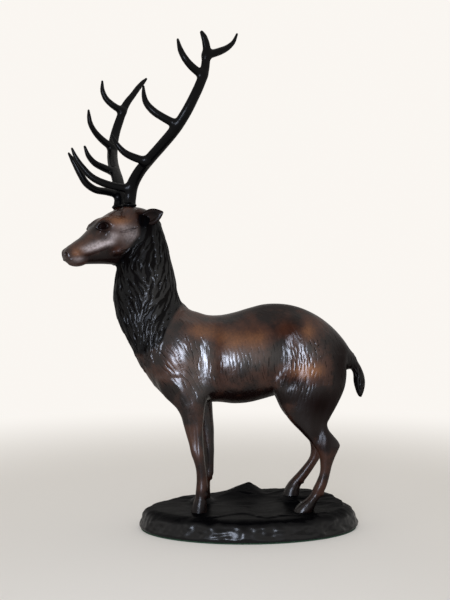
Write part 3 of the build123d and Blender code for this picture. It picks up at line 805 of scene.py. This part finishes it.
def largestOnly(points, quads):
    # drops loose crumbs
    label = np.arange(len(points))
    while True:
        low = label[quads].min(axis=1)
        new = label.copy()
        np.minimum.at(new, quads.ravel(), np.repeat(low, 4))
        new = new[new]
        if np.array_equal(new, label):
            break
        label = new
    keep = label == np.bincount(label).argmax()
    place = np.cumsum(keep) - 1
    return points[keep], place[quads[keep[quads[:, 0]]]]


patina = {
    # tail, muzzle and hooves turn black: from and to, and how much
    "blackEnds": [(112, 122, 0.9), (66, 73, 0.5), (-46, -34, 0.8)],
    # places rubbed down to the gold, or below 0 painted shade, darker on the rump, belly, thigh, back, brisket, hock
    # and in the flank hollow: x and z of the body, how far each reaches and how much
    "wearAndShade": [
        (8, 224, 21, 13, 0.5), (-22, 222, 20, 13, 0.4), (66, 189, 22, 11, 0.85), (67, 234, 10, 12, 0.7),
        (-58, 234, 22, 10, 0.6), (-84, 196, 16, 24, 0.3), (-66, 112, 12, 40, 0.12), (90, 112, 18, 16, -0.2),
        (86, 66, 12, 26, 0.05), (108, 200, 14, 34, -0.7), (80, 140, 28, 26, -0.6), (0, 156, 60, 12, -0.5),
        (30, 262, 60, 10, -0.3), (-100, 160, 20, 16, -0.3), (32, 212, 9, 16, -0.7), (-60, 60, 10, 30, 0.1),
    ],
    # the same on the head, with painted shade below 0 in the eye socket and under the cheek, by how far forward and how
    # high they are
    "headWearAndShade": [
        (14, 362, 14, 7, 0.7), (30, 366, 12, 5, 0.25), (58, 334, 12, 9, 0.25), (30, 318, 34, 7, -0.4),
        (33, 357, 7, 5, -0.6), (64, 324, 9, 7, 0.6), (46, 346, 12, 6, 0.2),
    ],
    # how far the bronze is without wax, and places that have less of it, or are polished below 0
    "mattLevel": 0.62,
    "matt": [
        (-66, 194, 20, 28, -0.62), (-4, 206, 42, 13, -0.62), (68, 210, 13, 14, -0.34), (-60, 160, 16, 14, -0.15),
        (-37, 206, 7, 26, 0.45), (44, 236, 16, 12, 0.38), (52, 180, 26, 10, 0.28), (108, 196, 16, 36, 0.3),
        (82, 146, 26, 22, 0.3), (0, 154, 60, 12, 0.3), (10, 234, 30, 14, 0.2), (40, 264, 70, 12, 0.25),
        (-96, 158, 22, 14, 0.1), (84, 104, 14, 18, 0.25), (76, 48, 40, 40, 0.2), (-58, 36, 30, 46, 0.2),
        (-108, 278, 20, 44, -0.27),
    ],
    "mattMane": 0.86,
    "mattBlack": 0.8,  # antlers and ears
    "mattHead": [(33, 356, 9, 8, 0.42), (-12, 368, 10, 12, 0.3), (36, 318, 40, 7, 0.2), (19, 329, 9, 8, 0.3)],
    # painted sheen and highlights on the head, on the cheek, cheek boss, facial crest, lip and temple; only where x
    # lies below the end set first
    "paintedSheenEnd": -120,
    "paintedSheen": [
        (2, 347, 12, 8, 0.45), (22.5, 345, 5, 4, 0.7), (28, 338, 6, 3.4, 1.0), (36, 335.5, 6, 3.6, 1.1),
        (44, 332.5, 6, 3.6, 1.1), (52, 329.5, 6, 3.2, 0.8), (62, 317.5, 7, 3, 0.5), (10, 356, 10, 4, 0.3),
    ],
}


def hills(rows, x, y, level=0.0):
    # a level with a smooth hill at each row's place, or a hollow where its height is below 0
    total = np.full(x.shape, level)
    for cx, cy, reachX, reachY, height in rows:
        total += height * np.exp(-(((x - cx) / reachX) ** 2) - ((y - cy) / reachY) ** 2)
    return total


def spotted(name, x, y):
    return np.clip(hills(patina[name], x, y), -0.8, 1)


def patinaMasks(points, carved, inMane):
    x, _, z = points.T
    forward, _, height = headAxes.split(*points.T)
    maned = np.clip(inMane / 5 + 0.5, 0, 1)
    black = maned
    for way, (low, high, most) in zip((x, forward, -z), patina["blackEnds"]):
        black = np.maximum(black, np.clip((way - low) / (high - low), 0, 1) * most)
    # wear down to the gold, and painted shade where the spots are below 0
    wearAndShade = spotted("wearAndShade", x, z) + spotted("headWearAndShade", forward, height)
    # painted sheen and highlights on the head
    paintedSheen = spotted("paintedSheen", forward, height) * (x < patina["paintedSheenEnd"])
    matt = patina["mattLevel"] + spotted("matt", x, z) + spotted("mattHead", forward, height)
    matt += (patina["mattMane"] - patina["mattLevel"]) * maned
    return {
        "black": black,
        "carved": carved,
        "wearAndShade": wearAndShade * (1 - black),
        "paintedSheen": paintedSheen * (1 - black),
        "matt": np.clip(matt, 0, 1),
    }


def modelPiece(name, node, low, high, step, makers, cuts, slot="brown_bronze"):
    clay = Clay(low, high, step)
    for maker in makers:
        maker(clay)
    points, quads = largestOnly(*clay.skin())
    normals = clay.normals(points)
    inMane = manePart(points)
    maned = np.clip(inMane / mane["border"], 0, 1)
    hairs = strokes(points, *hairLines, groove) * np.clip(1 - inMane / mane["border"], 0, 1)
    locks = strokes(points, *lockLines, lock)
    points = points + normals * (locks - hairs - mane["sunk"] * maned)[:, None]
    start, span, most = coat["dark"]
    carved = most * np.clip((hairs - start) / span, 0, 1)
    start, span, most = mane["dark"]
    carved = carved + maned * most * np.clip((start - locks) / span, 0, 1)
    piece = makeMesh(name, points, quads, patinaMasks(points, carved, inMane))
    for place, way in cuts:
        cutFlat(piece, place, way)
    return standFor(piece, node)


# Places: forward of the head, outwards and height. Each beam, crown and tine has its sizes after them.
antlers = {
    "beam": (
        [
            (-0.5, 13.4, 381), (-1.8, 13.6, 391), (-2.4, 17, 403.5), (-5, 28, 417.5), (-9.5, 46, 431), (-16, 67, 446),
            (-23.5, 85, 462), (-31, 97.5, 480), (-37, 103, 495), (-43.3, 105.7, 510), (-49, 106, 525),
        ],
        [7.8, 7.6, 7.6, 7.4, 7.2, 7.0, 6.8, 6.3, 5.9, 5.7, 5.4],
    ),
    "crownLeft": (
        [(-51.2, 106.5, 541.8), (-51.3, 107.5, 549.3), (-49.8, 108.3, 556), (-46.8, 109, 563), (-44, 109.2, 567)],
        [5.0, 4.8, 4.5, 3.7, 2.4],
    ),
    "crownRight": (
        [(-55.6, 106.5, 536), (-63, 108, 545), (-72.8, 110, 557.6), (-80.3, 111.5, 566), (-85.5, 112, 571.5)],
        [4.6, 4.0, 3.7, 3.0, 1.6],
    ),
    "bez": (
        [(-7, 46, 430.2), (7, 43.5, 433.7), (19.5, 43, 438.7), (28, 42, 447), (33, 40, 456.5)],
        [4.8, 4.5, 3.8, 3.0, 1.6],
    ),
    "trezLeft": (
        [
            (-24.2, 87, 467), (-9.2, 84.5, 473.4), (3, 81.5, 480.8), (9.9, 79, 489.5), (11.6, 77.5, 498),
            (11.6, 76.5, 507),
        ],
        [4.9, 4.4, 4.2, 3.5, 2.6, 1.4],
    ),
    "trezRight": (
        [
            (-23.7, 87, 468.4), (-9.4, 84.5, 476), (3.6, 81.5, 486.4), (10, 79, 495.5), (12, 77.5, 503),
            (13, 76.5, 510),
        ],
        [4.9, 4.4, 3.6, 3.2, 2.6, 1.4],
    ),
    "crownFront": (
        [(-47, 105, 521.5), (-33.3, 106.2, 528.2), (-23.7, 107, 536.2), (-19, 106, 544.5), (-17.1, 103, 556.5)],
        [4.8, 4.3, 3.8, 3.2, 1.5],
    ),
    "backTine": (
        [
            (-51.2, 106, 543.6), (-58.8, 107.5, 546.5), (-67.7, 109, 550.2), (-77, 110, 555.5), (-84, 111, 562.3),
            (-88.4, 112, 572),
        ],
        [4.6, 4.4, 4.1, 3.3, 2.4, 1.3],
    ),
    "browLeft": (
        [
            (1.4, 15, 402), (14.6, 13, 403.2), (30, 11, 406.4), (44, 8.5, 412.7), (55, 7, 423.4), (62.8, 7, 433.4),
            (68, 7.6, 443.5),
        ],
        [4.8, 4.5, 4.4, 4.0, 3.5, 2.8, 1.4],
    ),
    "browRight": (
        [
            (1.2, 15, 398.7), (17.5, 12, 400.2), (33, 9, 401.3), (44.2, 7.5, 407.3), (53.4, 6.7, 420), (61, 7, 432.7),
            (66, 7.6, 440.5),
        ],
        [4.8, 4.4, 4.2, 4.2, 4.0, 3.0, 1.4],
    ),
    "burr": ((-0.5, 13.9, 382.5), (9.0, 8.6, 2.4)),
    "flatness": 0.7,
    "seat": (0, 13.4, 381),
    "seatLean": 0.28,
    "step": 0.8,
    "room": 5,
}


def modelAntler(clay, side):
    name = "Left" if side > 0 else "Right"
    points, sizes = (low + high for low, high in zip(antlers["beam"], antlers["crown" + name]))
    beam = [mirrored(point, side) for point in points]
    clay.join(cord(headAxes, beam, sizes, antlers["flatness"], headAxes.along), blend=2)
    for tine in ["brow" + name, "bez", "trez" + name, "crownFront"] + ["backTine"] * (side > 0):
        layOn(clay, headAxes, side, *antlers[tine], blend=4)
    layOn(clay, headAxes, side, *antlers["burr"], blend=2)


def makeAntler(name, side):
    node = f"antler_{name}"
    low, high = (np.array(corner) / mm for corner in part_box(node))
    clay = Clay(low - antlers["room"], high + antlers["room"], antlers["step"])
    modelAntler(clay, side)
    points, quads = largestOnly(*clay.skin())
    piece = makeMesh("antler" + name.title(), points, quads, {"black": 1.0, "matt": patina["mattBlack"]})
    seat = headAxes.point(*mirrored(antlers["seat"], side))
    cutFlat(piece, seat, -headAxes.upward - headAxes.across * antlers["seatLean"] * side)
    return standFor(piece, node)


ears = {
    "root": (-13, 19, 364),
    "tip": (-32, 40, 374),
    "wide": 9.6,
    "thick": 5.4,
    "rim": 1.4,
}


def makeEar(name, side):
    root, tip = (headAxes.point(*mirrored(ears[end], side)) for end in ("root", "tip"))
    along = (tip - root) / np.linalg.norm(tip - root)
    facing = headAxes.along * 0.6 + headAxes.across * 0.8 * side
    facing -= along * (facing @ along)
    facing /= np.linalg.norm(facing)
    own = Axes(root, along, np.cross(facing, along), facing)
    length = np.linalg.norm(tip - root)
    wide, thick, rim = ears["wide"], ears["thick"], ears["rim"]
    blade = [
        (-5, -thick * 0.8, thick * 0.8, 0, wide * 0.5), (0, -thick, thick, 0, wide * 0.62),
        (length * 0.25, -thick * 0.9, thick * 0.8, 0, wide * 0.92),
        (length * 0.5, -thick * 0.7, thick * 0.6, 0, wide),
        (length * 0.75, -thick * 0.5, thick * 0.35, 0, wide * 0.74), (length * 0.92, -1.7, 0.7, 0, wide * 0.34),
        (length, -1.0, 0.2, 0, 1.0),
    ]
    clay = Clay(np.minimum(root, tip) - 14, np.maximum(root, tip) + 14, 0.6)
    clay.join(loft(own, blade))
    clay.carve(egg(own, (length * 0.46, 0, thick * 1.15), (length * 0.42, wide - rim * 1.6, thick * 1.25)), 1.5)
    points, quads = largestOnly(*clay.skin())
    piece = makeMesh("ear" + name.title(), points, quads, {"black": 0.8, "matt": patina["mattBlack"]})
    return standFor(piece, f"ear_{name}")


base = {
    "halfLength": 131.0,
    "halfWidth": 79.0,
    # height and how far in from the outline
    "bank": [(1.5, 2.2), (3.0, 0.6), (5.0, 0), (9, 1.0), (13, 2.1), (16, 3.1), (19, 4.8), (22, 9.0), (25, 16)],
    # the front edge of the upper ground: x and y
    "ledge": [
        (-131, -6), (-112, -24), (-98, -40), (-84, -50), (-62, -57), (-44, -55), (-25, -45), (-8, -42), (12, -59),
        (34, -53), (52, -50), (72, -46), (84, -40), (100, -44), (116, -36), (131, -10),
    ],
    # height of the lower ground in front of it
    "lower": [
        (-131, 14), (-100, 16), (-75, 18.5), (-50, 15.5), (-25, 14), (0, 19.5), (15, 16.5), (40, 15.5), (60, 19),
        (75, 23.5), (86, 18), (100, 12.5), (131, 10),
    ],
    "upper": 23.6,
    # x, y, reach along x and y, and extra height
    "rises": [
        (70, 50, 45, 36, 10), (100, 15, 26, 30, 5), (10, 60, 34, 24, 5), (-60, 50, 45, 30, 3.5),
        (-95, -10, 22, 26, -1.5), (10, -10, 40, 20, 1),
    ],
    # x, y, foot, height and reach to the left, to the right and front to back
    "rock": (4, 47, 24, 18.5, 31, 19, 17),
    "wrinkle": 1.0,
    "lowerWrinkle": 0.8,
    "rockWrinkle": 0.12,
    "ledgeWaver": 5,
    "lumps": 2.3,
    "stepWidth": 3,
    "lip": (1.5, 3.5, 2.6),  # height, how far behind the ledge and how far it reaches
    "hoofRoom": 13,
    "hoofSink": 1.2,
    "rounding": 2.5,
    "grid": ((-134, -82, -1), (134, 82, 46), 1.15),
}


def patterned(pattern, x, *others):
    # a pattern's value at each place
    rows = zip(x.ravel(), *(other.ravel() for other in others))
    return np.array([pattern(*row) for row in rows]).reshape(x.shape)


def lineAt(name, at):
    return curveThrough(*np.array(base[name], float).T, at.ravel()).reshape(at.shape)


def groundHeight(x, y):
    upper = hills(base["rises"], x, y, base["upper"])
    warp = patterned(lambda a, b: noise.noise(Vector((a / 38, b / 26, 3.1))), x, y)

    def fold(a, b, w):
        return noise.ridged_multi_fractal(Vector((a / 46 + w * 0.5, b / 11 + w * 1.2, 0.7)), 1.0, 2.1, 3, 1.0, 2.0)

    folds = patterned(fold, x, y, warp) - 1.4  # about 0 on the whole
    upper += base["wrinkle"] * folds
    edge = lineAt("ledge", x) + warp * base["ledgeWaver"]
    lower = lineAt("lower", x) + base["lowerWrinkle"] * folds
    step = np.clip((y - edge) / base["stepWidth"] + 0.5, 0, 1)
    height = lower + (upper - lower) * step * step * (3 - 2 * step)
    lipHeight, lipPlace, lipReach = base["lip"]
    height += lipHeight * np.exp(-(((y - edge - lipPlace) / lipReach) ** 2))
    rx, ry, foot, tall, left, right, deep = base["rock"]
    off = np.sqrt(((x - rx) / np.where(x < rx, left, right)) ** 2 + ((y - ry) / deep) ** 2)
    rock = foot + tall * np.exp(-(off**1.5)) * (1 + base["rockWrinkle"] * folds) - height
    height = height + 0.5 * (rock + np.sqrt(rock * rock + 4))
    for leg in legs.values():
        toeY, sole = leg["toe"][1:]
        front, back = leg["skin"][-1][1:3]
        off = np.hypot(x - (front + back) / 2, y - toeY)
        share = np.exp(-((off / base["hoofRoom"]) ** 4))
        height = height + (sole + base["hoofSink"] - height) * share
    return height


def modelBase(clay):
    x, y, z = clay.window(clay.low, clay.low + clay.step * clay.count)[1]
    plan = np.broadcast_arrays(x[:, :, 0], y[:, :, 0])
    angle = np.arctan2(plan[1] / base["halfWidth"], plan[0] / base["halfLength"])
    turns = np.linspace(-math.pi, math.pi, 361)

    def lump(turn, height):
        across, along = math.cos(turn), math.sin(turn)
        large = noise.noise(Vector((across * 6.5, along * 6.5, height / 11 + 5)))
        return large + 0.5 * noise.noise(Vector((across * 15, along * 15, height / 5 + 9)))

    lumps = patterned(lump, *np.meshgrid(turns, z.ravel(), indexing="ij"))
    column = (angle + math.pi) / (2 * math.pi) * (len(turns) - 1)
    near = np.clip(column.astype(int), 0, len(turns) - 2)
    share = (column - near)[..., None]
    rough = lumps[near] * (1 - share) + lumps[near + 1] * share
    inset = lineAt("bank", z) + base["lumps"] * (rough + 0.35) * np.clip((z - 2.5) / 4, 0, 1)
    a, b = base["halfLength"] - inset, base["halfWidth"] - inset
    out = np.sqrt((x / a) ** 2 + (y / b) ** 2)
    slope = np.sqrt((x / (a * a)) ** 2 + (y / (b * b)) ** 2) / np.maximum(out, 1e-3)
    wall = (out - 1) / np.maximum(slope, 1e-4)
    ground = trueDistance(z - groundHeight(*plan)[..., None], clay.step)
    blend = base["rounding"]
    soft = np.maximum(blend - np.abs(wall - ground), 0) / blend
    whole = np.maximum(wall, ground) + soft * soft * blend * 0.25
    clay.field = np.clip(np.maximum(whole, 1.5 - z), -30, 30).astype(np.float32)


def makeBase():
    clay = Clay(*base["grid"])
    modelBase(clay)
    points, quads = largestOnly(*clay.skin())
    # the top is dull and the bank round it is waxed
    level = np.clip((clay.normals(points)[:, 2] - 0.3) / 0.6, 0, 1) * np.clip((points[:, 2] - 6) / 8, 0, 1)
    piece = makeMesh("ground", points, quads, {"black": 1.0, "matt": 0.5 + 0.45 * level})
    return standFor(piece, "base_casting")


finishes = {
    "brown": paint(58, 37, 29),
    "deepBrown": paint(24, 16, 15),
    "gold": paint(124, 81, 50),
    # the pale grey of the painted sheen and highlights on the head
    "paintedSheen": paint(170, 158, 156),
    "black": paint(11, 11, 13),
    "inGrooves": paint(12, 9, 9),
    "blotch": (42, 4, 0.6),  # scale, detail and roughness of the noise
    "speck": (420, 3, 0.7),
    "grain": (0.12, 0.0003),  # strength and depth in metres
    "metal": 0.1,
    "roughness": (0.4, 0.55),
    # shine of the metal, then weight, index and roughness of the wax over it
    "waxed": (0.01, 1.0, 1.75, 0.25),
    "dull": (0.0, 1.0, 1.5, 0.25),
}


def makePatina(name):
    shine, weight, index, waxRoughness = finishes[name]
    finish = Finish(
        name + "Bronze",
        Metallic=finishes["metal"],
        Specular_IOR_Level=shine,
        Coat_IOR=index,
        Coat_Roughness=waxRoughness,
    )
    blotch, speck = finish.noise(*finishes["blotch"]), finish.noise(*finishes["speck"])
    # painted shade from the spots below 0 pulls the brown towards the deep brown, as the random blotches do
    shade = finish.spread(blotch + 0.5 * finish.mask("wearAndShade"), 0.35, 0.65)
    brown = finish.mix(shade, finishes["deepBrown"], finishes["brown"])
    worn = finish.spread(finish.mask("wearAndShade") + (blotch - 0.5) * 0.9 + (speck - 0.5) * 0.5, 0.1, 1.15)
    colour = finish.mix(worn, brown, finishes["gold"])
    # painted grey sheen and highlight, mottled by the noise
    mottledSheen = finish.mask("paintedSheen") * finish.spread(blotch * 0.5 + speck * 0.5, 0.38, 0.6, 0.45, 1)
    colour = finish.mix(mottledSheen, colour, finishes["paintedSheen"])
    colour = finish.mix(finish.mask("black"), colour, finishes["black"])
    carved = finish.spread(finish.mask("carved"), 0.05, 0.8)
    finish.feed("Base Color", finish.mix(carved, colour, finishes["inGrooves"]))
    low, high = finishes["roughness"]
    finish.feed("Roughness", finish.spread(blotch * 0.6 + speck * 0.4, 0.35, 0.65, low, high) + carved * 0.25)
    finish.feed("Coat Weight", weight * (1 - carved) * (1 - finish.mask("matt")))
    finish.bump(speck, *finishes["grain"])
    return finish.material


def makePlain(name, dark, light, noise, span=(0.35, 0.65), **fixed):
    # one noise between two colours
    finish = Finish(name, **fixed)
    grain = finish.noise(*noise)
    finish.feed("Base Color", finish.mix(finish.spread(grain, *span), dark, light))
    return finish, grain


def makeFelt():
    finish, fibre = makePlain("greenFelt", paint(22, 44, 30), paint(40, 66, 48), (900, 4, 0.7), Roughness=0.95)
    finish.bump(fibre, strength=0.5, depth=0.0005)
    return finish.material


def makeMetal(name, dark, light):
    finish, turned = makePlain(name, dark, light, (300, 3, 0.5, (1, 1, 6)), Metallic=1.0)
    finish.feed("Roughness", 0.28 + 0.15 * turned)
    return finish.material


castBronze = makePatina("waxed")
blackBronze = makePatina("dull")
hardboard, _ = makePlain("hardboard", paint(92, 66, 44), paint(126, 96, 66), (260, 5, 0.65), (0.3, 0.7), Roughness=0.7)
zincSteel = makeMetal("zincSteel", paint(150, 152, 156), paint(186, 188, 192))
bronzeRod = makeMetal("bronzeRod", paint(140, 96, 54), paint(176, 124, 72))
# what holds the castings together keeps its CAD shape
fittings = [
    (makeFelt(), ["felt_pad"]),
    (hardboard.material, ["closing_board"]),
    (zincSteel, ["hoof_studs", "hoof_washers", "hoof_nuts", "antler_studs", "board_screws"]),
    (bronzeRod, ["leg_pins", "neck_pins"]),
]
for material, nodes in fittings:
    for node in nodes:
        for slot in bpy.data.objects[node].material_slots:
            slot.link = "OBJECT"
            slot.material = material
print("finishes mixed")


seams = {
    # a place on each joint between castings, and which way the casting before it ends
    "neck": ((-107.5, 0, 234.5), (0.7193, 0, -0.6947)),
    "foreleg": ((0, 0, 123), (0, 0, -1)),
    "hindleg": ((0, 0, 125), (0, 0, -1)),
    "tail": ((120, 0, 203), (1, 0, 0)),
}
castings = {
    # lower and upper corner and step of the grid that each one is modelled on
    "trunk": ((-146, -50, 114), (132, 50, 276), 1.1),
    "neckAndHead": ((-234, -52, 196), (-58, 46, 392), 0.9),
    "foreleg": ((-90, 2, 14), (-36, 40, 132), 0.8),
    "hindleg": ((38, 2, 14), (112, 40, 132), 0.8),
    "tail": ((114, -21, 146), (146, 21, 226), 0.8),
}


def after(seam):
    place, way = seams[seam]
    return place, tuple(-v for v in way)


def makeLeg(node):
    kind, hand = node.split("_")
    side = {"left": -1, "right": 1}[hand]
    (back, inner, foot), (front, outer, top), step = castings[kind]
    low, high = sorted((inner * side, outer * side))
    corners = (back, low, foot), (front, high, top)
    return modelPiece(kind + hand.title(), node, *corners, step, [modelBody, modelFeet], [after(kind)])


trunkCuts = [seams["tail"], after("neck"), seams["foreleg"]]
waxed = [
    modelPiece("trunk", "torso_casting", *castings["trunk"], [modelBody], trunkCuts),
    modelPiece("neckAndHead", "neck_head_casting", *castings["neckAndHead"], [modelBody, modelHead], [seams["neck"]]),
    *[makeLeg(node) for node in legs],
]
dull = [
    modelPiece("tail", "tail_casting", *castings["tail"], [modelBody], [after("tail")], "black_bronze"),
    makeBase(),
    makeAntler("left", 1),
    makeAntler("right", -1),
    makeEar("left", 1),
    makeEar("right", -1),
]
for pieces, bronze in ((waxed, castBronze), (dull, blackBronze)):
    for piece in pieces:
        piece.data.materials.append(bronze)
print("castings finished")


studio = {
    "floorColour": paint(232, 229, 223),
    "wallColour": paint(250, 246, 241),
    "floorReach": 6000,
    "roomLight": 0.6,
    "floorEnd": (0.35, 1.1),
    "floorGlow": 0.2,
    # place, what it is aimed at, size, how far its light fans out, power in watts and colour of each lamp
    "lamps": {
        "softbox": ((-190, -1060, 215), (-20, 0, 230), 300, 85, 1.85, paint(222, 233, 255)),
        "window": ((-1500, -500, 900), (-20, 0, 250), 900, 180, 1.2, paint(255, 255, 255)),
        "above": ((300, 200, 1700), (0, 0, 250), 900, 180, 1.2, paint(255, 252, 246)),
    },
}


def seen(nodes):
    # the wall's full colour is seen directly and in the metal
    return nodes.ray("Camera") + nodes.ray("Glossy") + nodes.ray("Transmission")


def makeFloor():
    corners = np.array([(-1, -1, 0), (1, -1, 0), (1, 1, 0), (-1, 1, 0)], float) * studio["floorReach"]
    floor = makeMesh("floor", corners, np.array([(0, 1, 2, 3)]))
    finish = Finish("floorPaint", Base_Color=studio["floorColour"], Roughness=0.9)
    # far from the stag the floor takes the wall's colour
    place = finish.node("ShaderNodeTexCoord", output="Object")
    far = finish.node("ShaderNodeVectorMath", {"operation": "LENGTH"}, {0: place}, "Value")
    share = finish.spread(far, *studio["floorEnd"], studio["floorGlow"], 1) * seen(finish)
    glow = finish.node("ShaderNodeEmission", {}, {"Color": studio["wallColour"], "Strength": 1.0})
    both = finish.node("ShaderNodeMixShader", {}, {0: share, 1: Wire(finish, finish.shader.outputs[0]), 2: glow})
    finish.plug(both, finish.tree.nodes["Material Output"].inputs["Surface"])
    floor.data.materials.append(finish.material)


def makeRoom():
    world = bpy.data.worlds.new("room")
    scene.world = world
    world.use_nodes = True
    room = Nodes(world.node_tree)
    wall = room.tree.nodes["Background"]
    wall.inputs["Color"].default_value = studio["wallColour"]
    level = studio["roomLight"] + seen(room) * (1 - studio["roomLight"])
    room.plug(level, wall.inputs["Strength"])


def makeLamps():
    for name, (spot, target, size, fan, power, colour) in studio["lamps"].items():
        lamp = bpy.data.objects.new(name, bpy.data.lights.new(name, "AREA"))
        scene.collection.objects.link(lamp)
        lamp.data.size = size * mm
        lamp.data.spread = math.radians(fan)
        lamp.data.energy = power
        lamp.data.color = colour[:3]
        lamp.location = Vector(spot) * mm
        lamp.rotation_euler = (Vector(target) * mm - lamp.location).to_track_quat("-Z", "Y").to_euler()


makeFloor()
makeRoom()
makeLamps()
print("studio lit")
